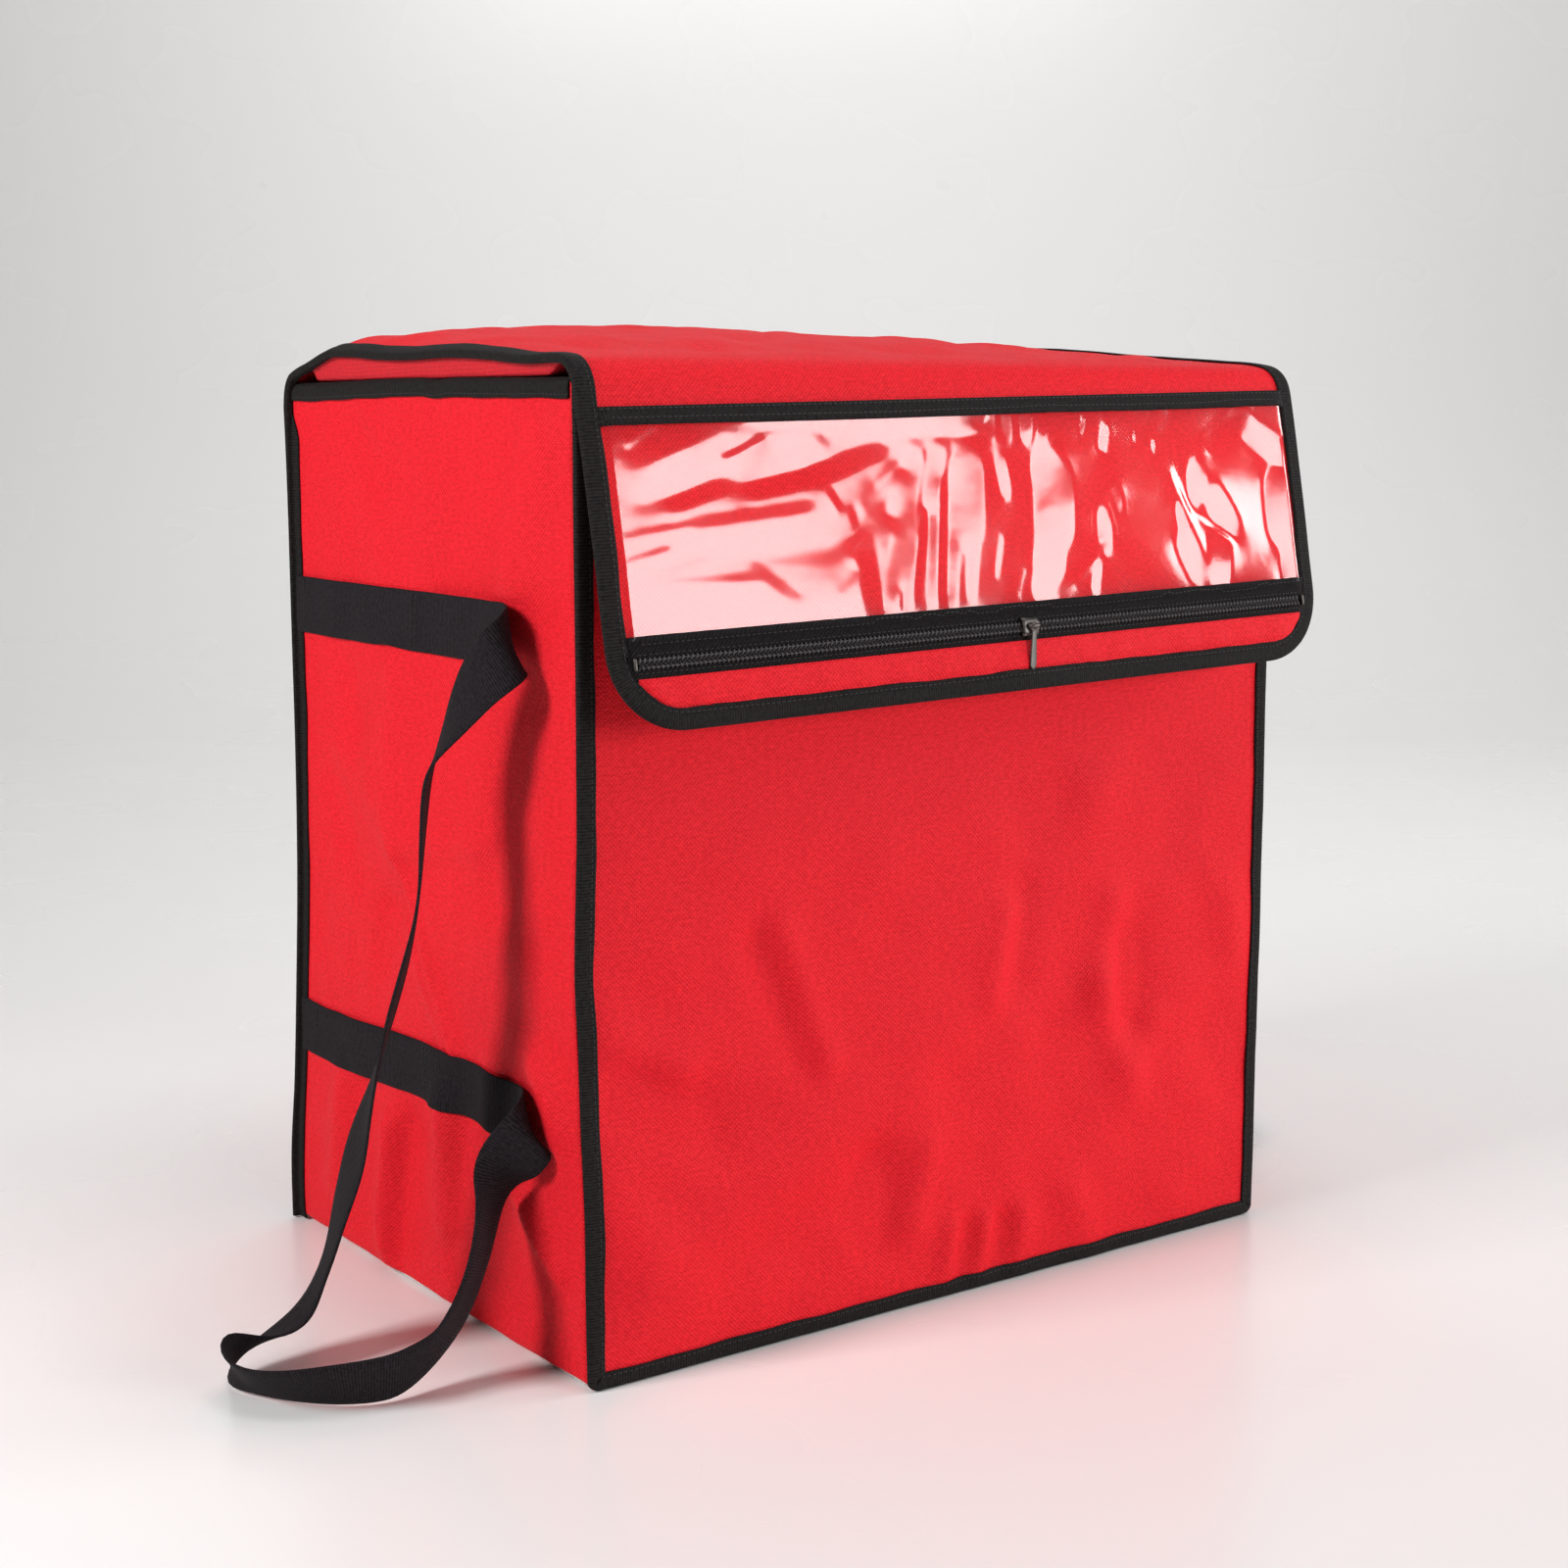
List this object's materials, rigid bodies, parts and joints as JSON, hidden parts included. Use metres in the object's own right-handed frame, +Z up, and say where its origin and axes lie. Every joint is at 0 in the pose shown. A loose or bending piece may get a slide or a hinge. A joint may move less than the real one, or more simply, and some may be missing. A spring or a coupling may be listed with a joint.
{
  "type": "insulated pizza delivery bag",
  "caption": "Upright insulated cloth box with a domed lid, a front flap that holds a clear zipped window pocket, bound edges and a hanging webbing handle on each side.",
  "frame": {"origin": "middle of the underside, on the surface that the bag stands on", "axes": "+Z up; the front with the window flap faces -Y; the bag's left side, as seen from the front, is at -X"},
  "size_m": [0.786, 0.3751, 0.5322],
  "materials": {
    "red_coated_polyester": "woven polyester with a thin coat, satin",
    "red_lining_fabric": "plain woven lining, matte",
    "black_binding_tape": "ribbed bias binding, matte",
    "black_webbing": "woven webbing, matte",
    "insulation_foam": "closed-cell polyethylene foam, matte",
    "clear_pvc_sheet": "soft clear sheet, glossy",
    "black_zip_tape": "herringbone zip tape, matte",
    "black_nylon_coil": "nylon coil, semi-gloss",
    "black_hook_and_loop": "hook and loop tape, matte",
    "nickel_plated_zinc": "nickel plating, polished"
  },
  "bodies": {
    "body": {"gusset_panel": "red_coated_polyester", "front_panel": "red_coated_polyester", "back_panel": "red_coated_polyester", "foam_front": "insulation_foam", "foam_back": "insulation_foam", "foam_left": "insulation_foam", "foam_right": "insulation_foam", "foam_base": "insulation_foam", "lining_front": "red_lining_fabric", "lining_back": "red_lining_fabric", "lining_gusset": "red_lining_fabric", "binding_front": "black_binding_tape", "binding_back_left": "black_binding_tape", "binding_back_right": "black_binding_tape", "binding_back_bottom": "black_binding_tape", "binding_left_top": "black_binding_tape", "binding_right_top": "black_binding_tape", "binding_front_top": "black_binding_tape", "strap_leg_left_upper": "black_webbing", "strap_leg_left_lower": "black_webbing", "strap_leg_right_upper": "black_webbing", "strap_leg_right_lower": "black_webbing", "loop_tape": "black_hook_and_loop"},
    "lid": {"lid_panel": "red_coated_polyester", "lid_foam": "insulation_foam", "lid_lining": "red_lining_fabric", "lid_binding_left": "black_binding_tape", "lid_binding_right": "black_binding_tape"},
    "flap": {"flap_panel": "red_coated_polyester", "flap_lining": "red_lining_fabric", "flap_binding": "black_binding_tape", "window_sheet": "clear_pvc_sheet", "window_tape": "black_binding_tape", "pocket_strip": "red_coated_polyester", "zip_tape_upper": "black_zip_tape", "zip_tape_lower": "black_zip_tape", "zip_coil_upper": "black_nylon_coil", "zip_coil_lower": "black_nylon_coil", "zip_stop_left": "nickel_plated_zinc", "zip_stop_right": "nickel_plated_zinc", "hook_tape": "black_hook_and_loop"},
    "slider": {"zip_slider": "nickel_plated_zinc"},
    "pull": {"zip_pull": "nickel_plated_zinc"},
    "left_handle": {"handle_left": "black_webbing"},
    "right_handle": {"handle_right": "black_webbing"}
  },
  "joints": [
    {"name": "lid_hinge", "type": "hinge", "parent": "body", "child": "lid", "pos_m": [0, 0.1475, 0.5015], "axis": [-1, 0, 0], "range_deg": [0, 230]},
    {"name": "flap_hinge", "type": "hinge", "parent": "lid", "child": "flap", "pos_m": [0, -0.1735, 0.508], "axis": [-1, 0, 0], "range_deg": [-10, 165]},
    {"name": "zip_slide", "type": "slide", "parent": "flap", "child": "slider", "axis": [0.9997, 0.0039, 0.0223], "range_m": [-0.239, 0.204]},
    {"name": "zip_pull_hinge", "type": "hinge", "parent": "slider", "child": "pull", "pos_m": [0.0207, -0.2043, 0.37476], "axis": [-0.9997, -0.0039, -0.0223], "range_deg": [0, 150]},
    {"name": "left_handle_swing", "type": "hinge", "parent": "body", "child": "left_handle", "pos_m": [-0.2389, -0.016, 0.25], "axis": [0, 0, -1], "range_deg": [0, 60]},
    {"name": "right_handle_swing", "type": "hinge", "parent": "body", "child": "right_handle", "pos_m": [0.2389, -0.016, 0.25], "axis": [0, 0, 1], "range_deg": [0, 60]}
  ]
}
